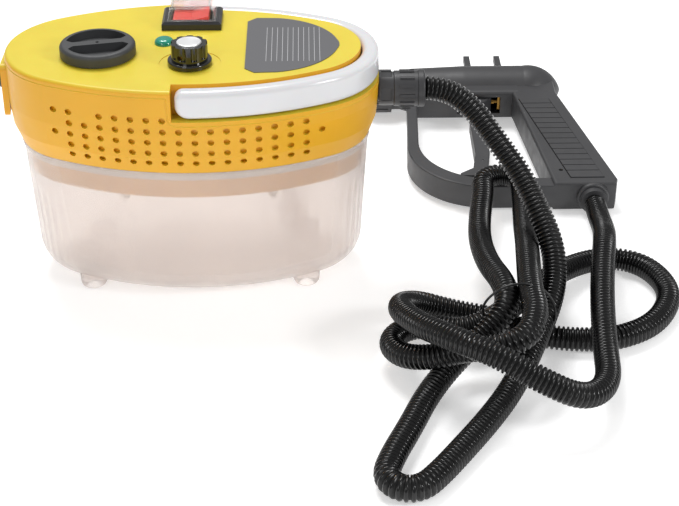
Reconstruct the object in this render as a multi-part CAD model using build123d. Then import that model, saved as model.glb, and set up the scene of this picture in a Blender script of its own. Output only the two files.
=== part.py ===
from build123d import *
import math
import os

# A steam wallpaper stripper: an oval water tank with a perforated motor housing on it, and a
# trigger gun that lies on its side at the end of a corrugated hose.
# Millimetres, +Z up, origin on the standing surface under the middle of the base unit.
# +X points to the hose end of the base unit, +Y to its back.

# Base unit, outer sizes
base_length = 240.0
base_depth = 143.0
base_height = 160.0
end_radius = 55.5        # plan radius of the two round ends
tank_top = 102.0
parting_height = 155.5   # joint between side housing and top cover
wall = 2.5
tank_inset = 6.5         # how far the tank wall stands inside the widest outline
tank_taper = 5.5         # how much further in it is at the bottom
tank_floor = 4.6
tank_edge = 22.0         # radius of the tank's bottom edge
foot_radius = 9.0
foot_x = 71.5
foot_y = 31.5

# Carrying handle, a bail let into the top edge
handle_width = 11.0
handle_bottom = 141.0
handle_top = 159.3
handle_end_x = -7.5
pivot_x = 2.5
pivot_z = 150.5
pin_head = base_depth / 2 - 17   # inner face that the handle pins' heads rest on
recess_end_x = -9.9
lip_bottom = 136.6
lip_end_x = -12.4

# Fittings on the top cover: centre x, centre y
cap_at = (-59.0, -13.0)
cap_radius = 24.0
neck_outer = 20.7
neck_inner = 17.6
knob_at = (0.0, -28.0)
knob_height = 14.0
dish_radius = 19.5       # shallow round recess under the knob
lamp_at = (-18.4, 4.0)
switch_at = (-2.0, 38.5)
rocker_tilt = 7.0
suction_at = (60.0, 26.0)
label_left = 34.5
label_right = 93.0
label_half = 43.5
cover_under = base_height - 2.2

# Vent holes
vent_radius = 2.1
vent_pitch_x = 9.8
vent_first_x = -74.4
vent_columns = 17
vent_rows = (110.2, 117.8, 125.4, 133.0, 140.6)

# Hose and its coupling at the end wall
hose_radius = 7.9
hose_z = 128.5
wall_x = base_length / 2
socket_end = 129.5
collar_end = 145.5
hose_start = 150.0

# Gun, in its own frame: x from nose to rear, y from handle up to barrel, z across
gun_at = (157.0, 228.5, 19.7)
gun_tilt = 2.6
barrel_radius = 19.5
guard_half = 9.5
grip_half = 11.5
belly_half = 12.0
trigger_pivot = (58.0, -9.0)
lock_pivot = (46.5, -124.0)
gun_screw_spots = ((12.0, -13.0), (26.0, -19.0), (101.0, -148.0))
butt_y = -167.0
grommet_x = 122.5
grommet_end = -175.0


def part_outline(grow):
    """Plan outline of the base unit, moved outwards by grow: two end arcs and two side arcs."""
    reach = base_length / 2 - end_radius
    half = base_depth / 2
    side = (reach**2 + half**2 - end_radius**2) / (2 * (half - end_radius))
    drop = side - half
    turn = math.degrees(math.atan2(drop, reach))
    arcs = [
        CenterArc((reach, 0), end_radius + grow, -turn, 2 * turn),
        CenterArc((0, -drop), side + grow, turn, 180 - 2 * turn),
        CenterArc((-reach, 0), end_radius + grow, 180 - turn, 2 * turn),
        CenterArc((0, drop), side + grow, 180 + turn, 180 - 2 * turn),
    ]
    return make_face(Wire(arcs))


def prism(grow, low, high):
    return extrude(Pos(0, 0, low) * part_outline(grow), high - low)


def taper(grow_low, low, grow_high, high):
    sections = [Pos(0, 0, low) * part_outline(grow_low), Pos(0, 0, high) * part_outline(grow_high)]
    return loft(sections, ruled=True)


def slab(x0, x1, y0, y1, z0, z1):
    middle = Pos((x0 + x1) / 2, (y0 + y1) / 2, (z0 + z1) / 2)
    return middle * Box(x1 - x0, y1 - y0, z1 - z0)


def rod(centre, radius, low, high):
    return Pos(centre[0], centre[1], (low + high) / 2) * Cylinder(radius, high - low)


def rod_x(x0, x1, y, z, radius):
    return Pos((x0 + x1) / 2, y, z) * Rot(0, 90, 0) * Cylinder(radius, abs(x1 - x0))


def rod_y(y0, y1, x, z, radius):
    return Pos(x, (y0 + y1) / 2, z) * Rot(90, 0, 0) * Cylinder(radius, abs(y1 - y0))


def save(node, *solids):
    shape = solids[0] if len(solids) == 1 else Compound(children=list(solids))
    export_step(shape, f"parts/{node}.step")


def edges_at(solid, height):
    return [e for e in solid.edges() if abs(e.center().Z - height) < 0.01]


def tube_along(points, radius, inner=0.0, share=0.45, least=3.0):
    """Round tube on straight runs joined by tangent arcs, each as large as its runs allow."""
    at = [Vector(*p) for p in points]
    radii = []
    for a, b, c in zip(at, at[1:], at[2:]):
        half_turn = math.radians((b - a).get_angle(c - b)) / 2
        shorter = min((b - a).length, (c - b).length)
        radii.append(max(least, share * shorter / math.tan(half_turn)))
    path = FilletPolyline(*at, radius=radii)
    start = Plane(origin=at[0], z_dir=at[1] - at[0])
    tube = sweep(start * Circle(radius), path=path)
    if inner:
        tube = tube - sweep(start * Circle(inner), path=path)
    return tube, path.length, radii


# ---- Base unit: tank, housing, cover ----


def water_tank():
    """Translucent tub with a deep rounded bottom edge, four feet and a stiffened rim."""
    low, high = -tank_inset - tank_taper, -tank_inset
    outer = taper(low, tank_floor, high, tank_top - 4.5)
    outer = fillet(edges_at(outer, tank_floor), tank_edge)
    foot = fillet(edges_at(Cylinder(foot_radius, 22), -11), 4.5)
    for x in (-foot_x, foot_x):
        for y in (-foot_y, foot_y):
            outer += Pos(x, y, 11) * foot
    outer += prism(high + 0.8, tank_top - 4.5, tank_top)
    inner = taper(low - wall, tank_floor + wall, high - wall - 0.2, tank_top + 0.2)
    inner = fillet(edges_at(inner, tank_floor + wall), tank_edge - wall)
    return outer - inner


def tank_seal():
    return prism(-10.0, 95, 99) - prism(-11.3, 94, 100)


def vents():
    """One drill for each vent, through the front and the back wall. The rows grow shorter near the ends."""
    drills = []
    for column in range(-1, vent_columns):
        x = vent_first_x + column * vent_pitch_x
        rows = vent_rows
        if column < 0 or column == vent_columns - 1:
            rows = vent_rows[2::2]
        if x > lip_end_x - 3:
            rows = [z for z in rows if z < lip_bottom - 3]
        if column == 1:
            rows = [z for z in rows if z < lip_bottom]
        drills += [rod_y(-90, 90, x, z, vent_radius) for z in rows]
    return drills


def lip_space(gap):
    """Block right of the lip's end and above its lower edge, with that corner rounded."""
    block = slab(lip_end_x + gap, 140, -90, 90, lip_bottom + gap, 200)
    corner = [e for e in block.edges().filter_by(Axis.Y) if e.center().Z < 150 and e.center().X < 0]
    return fillet(corner, 6)


def side_housing():
    """Perforated wall that narrows to the tank's rim, with a skirt that hangs into the tank."""
    low, middle = tank_top, tank_top + 12
    outer = taper(-5.9, low, -1.5, middle) + taper(-1.5, middle, 0, 130)
    outer += prism(0, 130, parting_height)
    inner = taper(-5.9 - wall, low + wall, -1.5 - wall, middle) + taper(-1.5 - wall, middle, -wall, 130)
    inner += prism(-wall, 130, parting_height + 1)
    body = outer - inner
    body += prism(-11.3, 82, low + wall)
    body -= prism(-13.3, 81, low + wall + 1)
    body -= lip_space(0)
    body -= vents()
    body -= rod_x(105, 130, 0, hose_z, 7.6)
    body -= rod_x(-130, -105, 0, 140, 5.0)
    return body


def handle_region(low, high, x0, gap):
    """Stretch of the outline's edge band that the handle fills, right of x0."""
    band = prism(gap, low, high) - prism(-handle_width - gap, low - 1, high + 1)
    return band & slab(x0, 140, -90, 90, low, high)


def top_cover():
    """Flat cover with a recess for the handle and openings for the fittings."""
    cap = prism(0, parting_height, base_height)
    cap = fillet(edges_at(cap, base_height), 2.4)
    cover = cap + (prism(0, lip_bottom, parting_height) & lip_space(0.1))
    left = slab(-140, lip_end_x, -90, 90, 100, 200)
    cover -= prism(-wall, 150, cover_under) & left
    cover -= prism(-handle_width - 2.6, 130, cover_under)
    lip = prism(-wall, 130, lip_bottom + 2.0) & slab(recess_end_x, 140, -90, 90, 100, 200)
    cover -= lip
    recess = handle_region(lip_bottom + 3.2, 165, recess_end_x, 0.9)
    cover -= recess
    for side in (-1, 1):
        cover -= rod_y(side * (pin_head - 3), side * (pin_head + 8), pivot_x, pivot_z, 3.0)
    cover -= rod(cap_at, neck_outer + 0.2, 140, 170)
    cover -= rod(knob_at, 3.7, 140, 170)
    cover -= rod(knob_at, dish_radius, base_height - 0.35, 170)
    cover -= rod(lamp_at, 4.1, 140, 170)
    x, y = switch_at
    cover -= slab(x - 15.2, x + 15.2, y - 11.2, y + 11.2, 150, 170)
    return cover


def carry_handle():
    """Bail that lies in the cover's edge and turns up on two pins at its arm ends."""
    bail = handle_region(handle_bottom, handle_top, handle_end_x, 0)
    profile = slab(handle_end_x, 140, -90, 90, handle_bottom, handle_top)
    ends = profile.edges().filter_by(Axis.Y)
    lower = [e for e in ends if e.center().X < 0 and e.center().Z < 150]
    upper = [e for e in ends if e.center().X < 0 and e.center().Z > 150]
    profile = fillet(lower, 8.5)
    upper = [e for e in profile.edges().filter_by(Axis.Y) if e.center().X < 0 and e.center().Z > 155]
    profile = fillet(upper, 5.5)
    bail = bail & profile
    bail = round_handle(bail)
    for side in (-1, 1):
        bail -= rod_y(side * (pin_head + 1), side * (pin_head + 9.2), pivot_x, pivot_z, 2.55)
    return bail


def round_handle(bail):
    """Softens the bail's outer top edge, as far as the radius can go."""
    top = [e for e in edges_at(bail, handle_top) if e.length > 60]
    for radius in (4.0, 3.0, 2.0, 1.0):
        try:
            return fillet(top, radius)
        except Exception:
            continue
    return bail


def handle_pins():
    """Headed pins pushed through the cover's inner wall into the arms."""
    pins = []
    for side in (-1, 1):
        shank = rod_y(side * pin_head, side * (pin_head + 9), pivot_x, pivot_z, 2.5)
        head = rod_y(side * (pin_head - 1.8), side * pin_head, pivot_x, pivot_z, 4.5)
        pins.append(shank + head)
    return pins


# ---- Base unit: filler ----


def filler_neck():
    tube = rod(cap_at, neck_outer, 98, base_height + 0.4)
    flange = rod(cap_at, 26, cover_under - 2.2, cover_under - 0.02)
    return tube + flange - rod(cap_at, neck_inner, 90, 170)


def lens_hollow():
    """One of the two finger hollows in the cap: the overlap of two circles, cut straight down."""
    lens = Pos(0, 22.0) * Circle(24.5) & Circle(cap_radius - 4.0) & (Pos(0, 16) * Rectangle(60, 26))
    return extrude(lens, 5.6)


def filler_cap():
    """Dark cap with two finger hollows that leave a waisted bar, and a plug that enters the neck."""
    head = rod((0, 0), cap_radius, 0.9, 8.4)
    head = fillet(edges_at(head, 8.4), 2.6)
    bar_turn = 12
    for angle in (0, 180):
        head -= Rot(0, 0, angle + bar_turn) * Pos(0, 0, 3.2) * lens_hollow()
    head -= rod((0, 0), 1.1, 6.4, 9)
    plug = rod((0, 0), neck_inner - 0.35, -11, 0.9) - rod((0, 0), neck_inner - 3.2, -12, -2)
    return Pos(cap_at[0], cap_at[1], base_height) * (head + plug)


def filler_cap_seal():
    ring = rod(cap_at, neck_outer - 0.4, base_height + 0.42, base_height + 0.88)
    return ring - rod(cap_at, neck_inner + 0.4, 150, 170)


# ---- Base unit: switch, lamp, knob, label ----


def switch_bezel():
    x, y = switch_at
    frame = slab(x - 19.5, x + 19.5, y - 14.5, y + 14.5, base_height + 0.02, base_height + 5.5)
    frame = chamfer(frame.edges().group_by(Axis.Z)[-1], 1.6)
    frame += slab(x - 15, x + 15, y - 11, y + 11, base_height - 22, base_height + 0.5)
    frame -= slab(x - 13.4, x + 13.4, y - 9.4, y + 9.4, base_height - 14, base_height + 8)
    return frame - rod_y(y - 10.4, y + 10.4, x, base_height, 1.56)


def switch_rocker():
    """Rocker with a shallow V on top, on pivot stubs at its long sides, pressed down at the left."""
    x, y = switch_at
    points = [(-11.8, 6.2), (0, 4.6), (11.8, 6.2), (11.8, 3.0), (5.0, -6.0), (-5.0, -6.0), (-11.8, 3.0)]
    body = extrude(Plane.XZ * make_face(Polyline(*points, close=True)), 8.9, both=True)
    body += rod_y(-10.1, 10.1, 0, 0, 1.5)
    return Pos(x, y, base_height) * Rot(0, -rocker_tilt, 0) * body


def switch_boot():
    """Clear soft cover over the rocker."""
    x, y = switch_at
    low = Pos(x, y, base_height + 5.52) * Rectangle(32, 23.5)
    high = Pos(x, y, base_height + 15.5) * Rectangle(27.5, 20.5)
    outer = fillet(loft([low, high], ruled=True).edges().group_by(Axis.Z)[-1], 1.5)
    low = Pos(x, y, base_height + 5.4) * Rectangle(30.6, 22.1)
    high = Pos(x, y, base_height + 14.6) * Rectangle(26.3, 19.3)
    return outer - loft([low, high], ruled=True)


def switch_terminals():
    x, y = switch_at
    return [slab(x + s - 0.4, x + s + 0.4, y - 3, y + 3, base_height - 30, base_height - 22) for s in (-9, 0, 9)]


def indicator_lens():
    dome = Pos(0, 0, 0) * Cylinder(6.3, 3.4)
    dome = fillet(edges_at(dome, 1.7), 3.0)
    return Pos(lamp_at[0], lamp_at[1], base_height + 1.72) * dome


def indicator_body():
    body = rod(lamp_at, 4.0, base_height - 18, base_height + 0.01)
    nut = rod(lamp_at, 6.4, cover_under - 3, cover_under - 0.02)
    legs = [slab(lamp_at[0] + s - 0.4, lamp_at[0] + s + 0.4, lamp_at[1] - 0.4, lamp_at[1] + 0.4,
                 base_height - 26, base_height - 18) for s in (-1.5, 1.5)]
    return [body + nut] + legs


def control_knob():
    """Fluted body over a wide skirt."""
    skirt = fillet(edges_at(Pos(0, 0, 2) * Cylinder(14, 3.2), 3.6), 1.2)
    body = rod((0, 0), 11.5, 3.4, knob_height)
    flute = rod((12.6, 0), 2.3, 5.4, 20)
    for index in range(10):
        body -= Rot(0, 0, 36 * index) * flute
    body -= rod((0, 0), 8.1, knob_height - 0.8, 20)
    knob = skirt + body - rod((0, 0), 3.0, -1, 10)
    knob -= Pos(0, 0, 7.5) * Rot(0, 0, -120) * rod_x(2, 14, 0, 0, 1.5)
    return Pos(knob_at[0], knob_at[1], base_height) * knob


def knob_cap():
    disc = rod((0, 0), 7.9, knob_height - 0.8, knob_height + 0.9)
    disc = fillet(edges_at(disc, knob_height + 0.9), 0.7)
    return Pos(knob_at[0], knob_at[1], base_height) * disc


def knob_set_screw():
    screw = Rot(0, 0, -120) * rod_x(3.05, 9.5, 0, 7.5, 1.45)
    return Pos(knob_at[0], knob_at[1], base_height) * screw


def knob_shaft():
    shaft = rod((0, 0), 2.98, -12, 9.9)
    return Pos(knob_at[0], knob_at[1], base_height) * shaft


def potentiometer():
    can = rod((0, 0), 8.5, -22, -10.5)
    thread = rod((0, 0), 3.6, -10.5, -0.2)
    legs = [slab(s - 0.4, s + 0.4, 6, 15, -19, -18) for s in (-4, 0, 4)]
    body = can + thread - rod((0, 0), 3.03, -13, 2)
    for leg in legs:
        body += leg
    return Pos(knob_at[0], knob_at[1], base_height) * body


def potentiometer_nut():
    nut = extrude(RegularPolygon(5.5, 6), 2.2) - Cylinder(3.62, 10)
    return Pos(knob_at[0], knob_at[1], cover_under - 2.3) * nut


def rating_label():
    """Blank plate, straight at the left and bowed to a blunt point at the right."""
    middle = (label_left + label_right) / 2 + 12
    arcs = []
    for side in (1, -1):
        corner = (label_left + 6, side * label_half)
        arcs.append(Line((label_left, side * (label_half - 6)), corner))
        arcs.append(Line(corner, (label_left + 20, side * (label_half - 0.6))))
        arcs.append(ThreePointArc((label_left + 20, side * (label_half - 0.6)), (middle, side * 33.5),
                                  (label_right, side * 7)))
    arcs.append(ThreePointArc((label_right, 7), (label_right + 1.4, 0), (label_right, -7)))
    arcs.append(Line((label_left, 6 - label_half), (label_left, label_half - 6)))
    face = make_face(Wire(arcs))
    return extrude(Pos(0, 0, base_height + 0.01) * face, 0.5)


# ---- Base unit: coupling and cord inlet ----


def hose_socket():
    """Fixed half of the coupling, with flat recesses round it, held by a nut inside the wall."""
    body = rod_x(wall_x + 0.02, socket_end, 0, hose_z, 11.0)
    for angle in range(0, 360, 90):
        cut = Rot(angle, 0, 0) * slab(wall_x + 1.5, socket_end - 1.0, -4.5, 4.5, 9.6, 14)
        body -= Pos(0, 0, hose_z) * cut
    body += rod_x(108, wall_x + 0.1, 0, hose_z, 7.5)
    body += rod_x(socket_end - 0.1, socket_end + 10, 0, hose_z, 8.6)
    return body - rod_x(100, 150, 0, hose_z, 4.2)


def socket_nut():
    nut = Pos(111.6, 0, hose_z) * Rot(0, 90, 0) * extrude(RegularPolygon(9.4, 6), 4.2)
    return nut - rod_x(100, 125, 0, hose_z, 7.53)


def hose_collar():
    """Turning half of the coupling, with grip ribs and one locking lug."""
    body = rod_x(socket_end + 0.15, collar_end, 0, hose_z, 11.6)
    body = fillet([e for e in body.edges() if e.center().X < socket_end + 1], 0.8)
    for angle in range(0, 360, 30):
        rib = Rot(angle, 0, 0) * slab(socket_end + 4, collar_end - 2.5, -0.9, 0.9, 11.2, 12.3)
        body += Pos(0, 0, hose_z) * rib
    body += slab(socket_end + 6, collar_end - 4.5, -2.2, 2.2, hose_z - 14.2, hose_z - 11)
    body -= rod_x(socket_end - 1, socket_end + 11, 0, hose_z, 8.65)
    return body - rod_x(socket_end - 1, 150, 0, hose_z, 6.05)


def hose_ferrule():
    """Flanged end of the hose that the collar turns on."""
    body = rod_x(collar_end + 0.15, hose_start, 0, hose_z, 12.2)
    body = fillet([e for e in body.edges() if e.center().X > hose_start - 0.1], 1.2)
    body += rod_x(socket_end + 10.2, collar_end + 1, 0, hose_z, 6.0)
    return body - rod_x(130, 160, 0, hose_z, 4.2)


def cord_plate():
    """Raised plate on the left end wall round the power inlet."""
    plate = slab(-wall_x - 2.2, -wall_x + 8, -14, 14, 117, 153)
    plate = fillet(plate.edges().filter_by(Axis.X), 4)
    plate -= prism(0.02, 100, 170)
    return plate - rod_x(-130, -110, 0, 140, 5.0)


def cord_gland():
    """Grommet for the power cord, through the plate and the wall."""
    body = rod_x(-wall_x - 5.0, -wall_x + 5.5, 0, 140, 4.97)
    flange = rod_x(-wall_x - 5.0, -wall_x - 2.22, 0, 140, 7.4)
    return body + flange - rod_x(-140, -100, 0, 140, 3.4)


# ---- Base unit: inside ----


def chassis_plate():
    plate = prism(-13.6, tank_top - 0.5, tank_top + 2.6)
    plate += prism(-9.3, tank_top + 2.52, tank_top + 4.6)
    plate -= rod(cap_at, neck_outer + 0.3, 90, 120)
    plate -= rod(suction_at, 4.6, 90, 120)
    for x in (-44, 50):
        for y in (-40, 40):
            plate += rod((x, y), 3.5, 74, tank_top)
    return plate


def water_pump():
    base = slab(38, 80, 12, 44, 106.62, 112)
    body = rod_x(34, 70, 28, 126, 12.5)
    head = slab(70, 85, 17, 38, 113, 137)
    return base + slab(46, 68, 19, 37, 111, 118) + body + head + rod_x(27, 35, 28, 126, 4)


def suction_tube():
    return rod(suction_at, 4.5, 27, 106.6) - rod(suction_at, 3.2, 25, 104)


def suction_filter():
    """Slotted strainer at the tube's lower end."""
    body = rod(suction_at, 8, 14, 27)
    for angle in range(0, 360, 45):
        body -= Pos(*suction_at) * Rot(0, 0, angle) * slab(6.8, 9, -0.8, 0.8, 16, 25)
    return body


def heater_block():
    block = slab(-20, 60, -52, -20, 110.6, 132)
    block = fillet(block.edges().filter_by(Axis.X), 4)
    for x in (-8, 48):
        block += slab(x - 4, x + 4, -44, -28, 106.62, 112)
    return block + rod_x(-34, -18, -28, 121, 4)


def thermostats():
    return [rod((x, -36), 7, 132.02, 137) for x in (4, 34)]


def circuit_board():
    board = slab(-34, 16, 6, 56, 112, 113.6)
    for x in (-30, 12):
        for y in (10, 51):
            board += rod((x, y), 2, 106.62, 112.1)
    board += slab(-28, -8, 16, 34, 113.5, 124)
    board += rod((4, 44), 6, 113.5, 128) + rod((-20, 46), 5, 113.5, 126)
    return board


def pump_pipe():
    """Copper pipe from the pump's outlet to the heater block."""
    route = [(85.1, 28, 126), (95, 28, 126), (100, 8, 122), (95, -30, 118), (78, -38, 118), (60.1, -38, 118)]
    return tube_along(route, 2.5, 1.6)[0]


def steam_pipe():
    """Pipe from the heater block to the hose socket."""
    route = [(60.1, -28, 127), (70, -28, 127), (88, -15, 128.5), (98, 0, 128.5), (107.9, 0, 128.5)]
    return tube_along(route, 3.0, 2.0)[0]


def housing_screws():
    """Screws up through the chassis into the cover's bosses."""
    return [rod((x, y), 2.0, 74.0 - 2.2, 74.0 - 0.02) for x in (-44, 50) for y in (-40, 40)]


# ---- Gun ----


def barrel(grow):
    """Turned body: slim nose, straight middle, rounded rear. Grow moves the skin outwards."""
    nose = 15.0 + grow
    body = barrel_radius + grow
    outline = [
        Line((-36, 0), (-36, nose)),
        Line((-36, nose), (-9, nose)),
        Line((-9, nose), (0, 17.8 + grow)),
        Line((0, 17.8 + grow), (42, body)),
        Line((42, body), (90, body)),
        ThreePointArc((90, body), (112, 0.7 * body), (121 + grow, 0)),
        Line((121 + grow, 0), (-36, 0)),
    ]
    return revolve(make_face(Wire(outline)), Axis.X)


def grip_outline(inset):
    return make_face(Polyline(
        (76 + inset, -6), (114 - inset, -6), (114 - inset, -26), (141 - inset, -160),
        (139 - inset, butt_y + inset), (94 + inset, butt_y + inset), (80 + inset, -32), close=True))


def guard_outline():
    """Closed guard from the front of the barrel to the butt, with a large bend at the bottom."""
    outer = [
        Line((-4.5, -8), (-4.5, -24)),
        Line((-4.5, -24), (-8.5, -104)),
        ThreePointArc((-8.5, -104), (6.5, -149), (46, butt_y)),
        Line((46, butt_y), (110, butt_y)),
        Line((110, butt_y), (110, butt_y + 12)),
        Line((110, butt_y + 12), (46, butt_y + 12)),
        ThreePointArc((46, butt_y + 12), (13.6, -138), (0.0, -100)),
        Line((0.0, -100), (3.0, -24)),
        Line((3.0, -24), (3.0, -8)),
        Line((3.0, -8), (-4.5, -8)),
    ]
    return make_face(Wire(outer))


def gun_solid():
    body = barrel(0)
    belly = fillet(slab(-3, 84, -26.5, 0, -belly_half, belly_half).edges().filter_by(Axis.X), 3)
    guard = extrude(guard_outline(), guard_half, both=True)
    guard = soften(guard, 1.2)
    grip = extrude(grip_outline(0), grip_half, both=True)
    grip = soften(grip, 2.2)
    return body + belly + guard + grip


def soften(plate, radius):
    """Rounds the long edges of a flat extruded piece, or leaves them sharp where that fails."""
    edges = plate.faces().filter_by(Axis.Z).edges()
    try:
        return fillet(edges, radius)
    except Exception:
        return plate


def gun_hollow():
    """Space inside the shells for the valve, pipes and trigger."""
    hollow = rod_x(-4, 104, 0, 0, barrel_radius - 3.2)
    hollow += slab(6, 92, -24, 0, -9.2, 9.2)
    hollow += extrude(grip_outline(2.8), grip_half - 2.5, both=True)
    hollow += rod_x(-40, 0, 0, 0, 10.05)
    hollow += slab(36, 70, -32, -20, -7.2, 7.2)
    hollow += rod_y(butt_y - 2, butt_y + 6, grommet_x, 0, 8.5)
    return hollow


def gun_bosses():
    """Pillars that hold the trigger pin and the shell screws between the two halves."""
    x, y = trigger_pivot
    bosses = Compound(children=[Pos(a, b, 0) * Cylinder(3.4, 2 * belly_half - 3) for a, b in gun_screw_spots])
    pin_bosses = Pos(x, y, 0) * Cylinder(4.0, 29) - Pos(x, y, 0) * Cylinder(5, 18.8)
    return bosses, pin_bosses - Pos(x, y, 0) * Cylinder(2.03, 24.4)


def gun_place():
    return Pos(*gun_at) * Rot(gun_tilt, 0, 0)


def gun_shells():
    """Two mirror halves, with shallow beds for the grip pads."""
    whole = gun_solid() - gun_hollow()
    screw_bosses, pin_bosses = gun_bosses()
    whole = whole + screw_bosses.solids() + pin_bosses.solids()
    for side in (-1, 1):
        whole -= extrude(pad_outline(0.6), side * 0.8).translate(Vector(0, 0, side * (grip_half - 0.8)))
    for x, y in gun_screw_spots:
        whole -= Pos(x, y, 0) * Cylinder(1.6, 60)
    left = whole & slab(-60, 160, -200, 60, 0.0, 40)
    right = whole & slab(-60, 160, -200, 60, -40, 0.0)
    return left, right


def pad_outline(grow):
    return make_face(Polyline(
        (83 - grow, -38 + grow), (106 + grow, -38 + grow), (131 + grow, -159 - grow),
        (107 - grow, -159 - grow), close=True))


def grip_pad(side):
    """Ribbed insert: grooves run along the barrel."""
    pad = extrude(pad_outline(0), side * 1.3).translate(Vector(0, 0, side * (grip_half - 0.78)))
    for index in range(14):
        y = -45.5 - index * 8.0
        pad -= slab(80, 135, y - 0.4, y + 0.4, side * (grip_half + 0.02) - 0.5, side * (grip_half + 0.02) + 0.5)
    return pad


def trigger():
    """Long lever with a hooked toe, a pivot hole and a slot for its lock."""
    x, y = trigger_pivot
    shape = make_face(Polyline(
        (53.5, -18), (54.5, -6.6), (60, -5.0), (63, -9), (62.8, -24), (54.5, -34), (53.0, -112), (47.5, -146),
        (29.5, -145), (28.5, -141.5), (38.5, -134), (42.0, -112), (42.5, -60), (46.5, -30), close=True))
    lever = extrude(shape, 6.2, both=True)
    lever = soften(lever, 1.0)
    lever -= Pos(x, y, 0) * Cylinder(2.05, 30)
    lever -= slab(42.6, 56, -141, -116, -2.3, 2.3)
    return lever - Pos(lock_pivot[0], lock_pivot[1], 0) * Cylinder(1.04, 30)


def trigger_lock():
    x, y = lock_pivot
    arm = fillet(slab(x - 2.2, x + 2.2, y - 13, y + 2.6, -2.0, 2.0).edges().filter_by(Axis.Z), 1.2)
    thumb = slab(x + 1, x + 5.5, y - 13, y - 9.5, -2.0, 2.0)
    return arm + thumb - Pos(x, y, 0) * Cylinder(1.04, 10)


def coil(radius, wire, pitch, turns, centre, low):
    path = Helix(pitch, pitch * turns, radius)
    start = Plane(origin=path @ 0, z_dir=path % 0)
    return Pos(centre[0], centre[1], low) * sweep(start * Circle(wire), path=path)


def steam_valve():
    """Brass valve block with the plunger's bore at the front."""
    block = fillet(slab(68, 94, -23, 7, -6.8, 6.8).edges().filter_by(Axis.X), 1.5)
    return block - rod_x(60, 80, -19, 0, 2.08) - rod_x(60, 71, 0, 0, 3.0)


def valve_plunger():
    return rod_x(63.3, 65.2, -19, 0, 3.0) + rod_x(65, 76, -19, 0, 2.03)


def nozzle_tube():
    """Steel tube from the valve to the nose."""
    return rod_x(-6, 70.9, 0, 0, 2.95) - rod_x(-10, 80, 0, 0, 2.0)


def nozzle_socket():
    """Seat for the steam heads, held in the nose."""
    body = rod_x(-37, -4.2, 0, 0, 10.0) - rod_x(-40, -12, 0, 0, 6.0)
    return body - rod_x(-13, 0, 0, 0, 2.98)


def nozzle_ring():
    """Turning ring on the nose that locks a steam head."""
    body = rod_x(-34, -16, 0, 0, 17.4) - rod_x(-40, 0, 0, 0, 15.06)
    for angle in range(0, 360, 24):
        body -= Rot(angle, 0, 0) * slab(-31, -19, -0.8, 0.8, 16.8, 19)
    return body


def nozzle_seal():
    return Pos(-38.2, 0, 0) * Rot(0, 90, 0) * Cylinder(9.4, 2.3) - rod_x(-45, -30, 0, 0, 7.0)


def accessory_hooks():
    """Two small posts on the barrel that carry a steam head."""
    posts = []
    for x in (48.5, 73.5):
        post = slab(x - 2.4, x + 2.4, 16.8, 45, 3.5, 8.5)
        posts.append(fillet(post.edges().group_by(Axis.Y)[-1], 0.8) - rod_x(20, 100, 0, 0, barrel_radius + 0.02))
    return posts


def hose_grommet():
    """Flared sleeve where the hose enters the butt."""
    flare = rod_y(butt_y - 0.02, butt_y - 3, grommet_x, 0, 11.7)
    flare = fillet([e for e in flare.edges() if e.center().Y < butt_y - 2], 1.5)
    sleeve = rod_y(butt_y - 2, grommet_end, grommet_x, 0, 9.6)
    body = flare + sleeve + rod_y(butt_y + 5, butt_y - 1, grommet_x, 0, 8.4)
    return body - rod_y(butt_y + 10, grommet_end - 2, grommet_x, 0, 4.2)


def gun_pipe():
    """Pipe inside the grip from the hose to the valve."""
    route = [(grommet_x, -161.9, 0), (grommet_x - 2, -150, 0), (108, -92, 0), (104, -30, 0), (103, -9, 0),
             (94.05, -9, 0)]
    return tube_along(route, 3.6, 2.4, least=4.0)[0]


def gun_screws():
    return [Pos(x, y, 0) * Cylinder(1.55, 20) for x, y in gun_screw_spots]


# ---- Hose ----

# Points chosen along the hose's centreline, from the coupling to the gun. It drops in a free arc,
# runs round a wide loop at the front, over the guard's bar, round two side loops and up to the butt.
hose_route = [
    (150, 0, 128.5), (164, 0, 128.5), (182, -8, 117), (198, -21, 98), (213, -32, 80), (225, -45, 64),
    (234, -60, 49), (236, -78, 35), (229, -102, 28), (218, -128, 22.5), (209, -154, 16), (197, -179, 11),
    (181, -206, 9), (161, -234, 8.4), (149, -259, 8.2), (130, -264, 8.2), (117, -251, 8.2),
    (119.5, -231, 8.2), (131, -207, 8.3), (147, -174, 9), (162, -151, 17), (180, -142, 29), (195, -131, 40.5),
    (196, -106, 42.5), (189, -70, 36), (188, -27, 28), (190, 8, 26), (193, 37, 28), (202.5, 58, 30.5),
    (225, 58, 30.5), (234, 37, 29), (229, 8, 28), (223, -18, 31), (219, -45, 38), (216, -78, 44),
    (214, -121, 48), (214, -148, 49), (204, -171, 47), (184, -176, 42), (166, -166, 35), (146, -161, 27),
    (128, -149, 20), (118.5, -130, 17), (129, -112, 16), (150, -113, 17), (170, -124, 19.5),
    (195, -113, 26), (220, -76, 22), (249, -34, 12), (279, -17, 8.4), (305, -29, 8.2), (315, -64, 8.2),
    (299, -99, 8.2), (269, -117, 8.2), (241, -118, 8.2), (216, -112, 8.2), (191, -92, 8.4), (165, -83, 11),
    (141, -84, 20), (126, -110, 33), (137, -147, 42), (157, -174, 51), (181, -190, 50), (206, -199, 38),
    (235, -205, 27), (255, -183, 21), (259, -146, 21), (261, -110, 26.5), (266, -69, 29), (273, -29, 30),
    (278, 6, 17), (279.5, 33.7, 10.85), (279.5, 53.5, 11.76),
]


def steam_hose():
    tube, length, radii = tube_along(hose_route, hose_radius)
    print("hose length", round(length), "radii", [round(r) for r in radii])
    section = math.pi * hose_radius**2 * length
    print("hose volume", round(tube.volume), "section times length", round(section))
    return tube


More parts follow.
